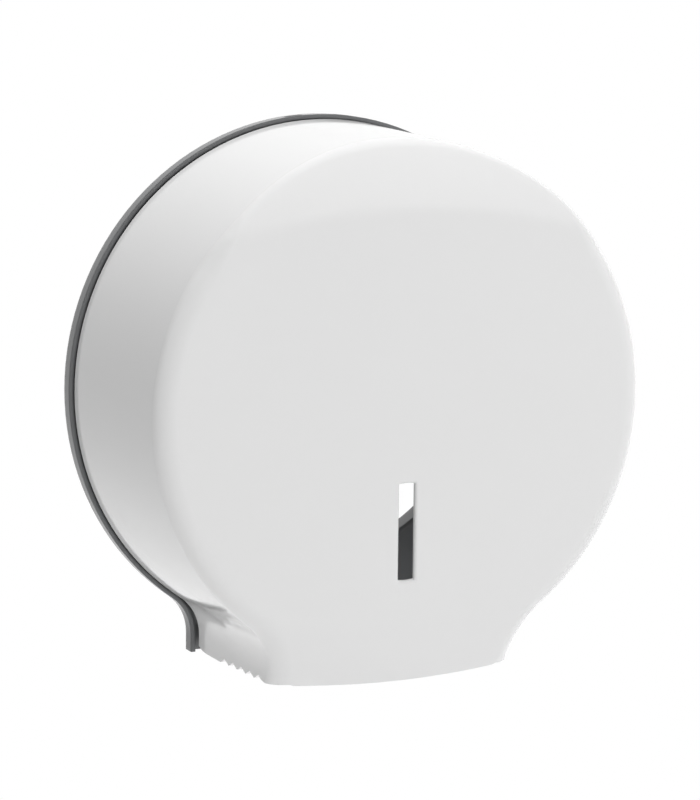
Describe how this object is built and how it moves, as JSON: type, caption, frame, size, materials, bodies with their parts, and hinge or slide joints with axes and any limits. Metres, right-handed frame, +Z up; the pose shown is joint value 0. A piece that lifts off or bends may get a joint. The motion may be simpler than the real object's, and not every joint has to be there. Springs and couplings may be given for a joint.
{
  "type": "jumbo toilet roll dispenser",
  "caption": "Round wall-hung jumbo toilet roll dispenser: grey back plate with key latch and roll hub, white hinged drum cover with a level slot and a toothed paper chute.",
  "frame": {"origin": "where the roll axis meets the wall, at the centre of the four wall screws", "axes": "-Y towards the user, out of the wall and along the roll axis; +Z up; +X to the right as seen from the front"},
  "size_m": [0.28, 0.118, 0.2833],
  "materials": {
    "grey_plastic": "fine matt texture",
    "white_plastic": "satin",
    "dark_grey_plastic": "matt",
    "light_grey_plastic": "matt",
    "steel": "zinc plated",
    "spring_steel": "drawn wire",
    "black_rubber": "matt"
  },
  "bodies": {
    "back": {"back_plate": "grey_plastic", "hinge_pin_left": "steel", "hinge_pin_right": "steel", "latch_guide": "dark_grey_plastic", "latch_guide_screws": "steel", "latch_spring_left": "spring_steel", "latch_spring_right": "spring_steel", "spindle": "steel", "spindle_screws": "steel", "friction_washer": "black_rubber", "spring_washer": "spring_steel", "hub_washer": "steel", "hub_screw": "steel"},
    "cover": {"cover": "white_plastic", "cover_catch": "steel", "cover_catch_screws": "steel"},
    "latch": {"latch_slide": "dark_grey_plastic"},
    "hub": {"roll_hub": "light_grey_plastic"}
  },
  "joints": [
    {"name": "cover_hinge", "type": "hinge", "parent": "back", "child": "cover", "pos_m": [0, -0.015, -0.137], "axis": [1, 0, 0], "range_deg": [0, 95]},
    {"name": "latch_press", "type": "slide", "parent": "back", "child": "latch", "axis": [0, 0, 1], "range_m": [0, 0.005], "stiffness_N_per_m": 200, "springref_m": 0.009, "deforming": ["latch_spring_left", "latch_spring_right"]},
    {"name": "hub_spin", "type": "hinge", "parent": "back", "child": "hub", "pos_m": [0, 0, 0], "axis": [0, -1, 0], "continuous": true}
  ]
}
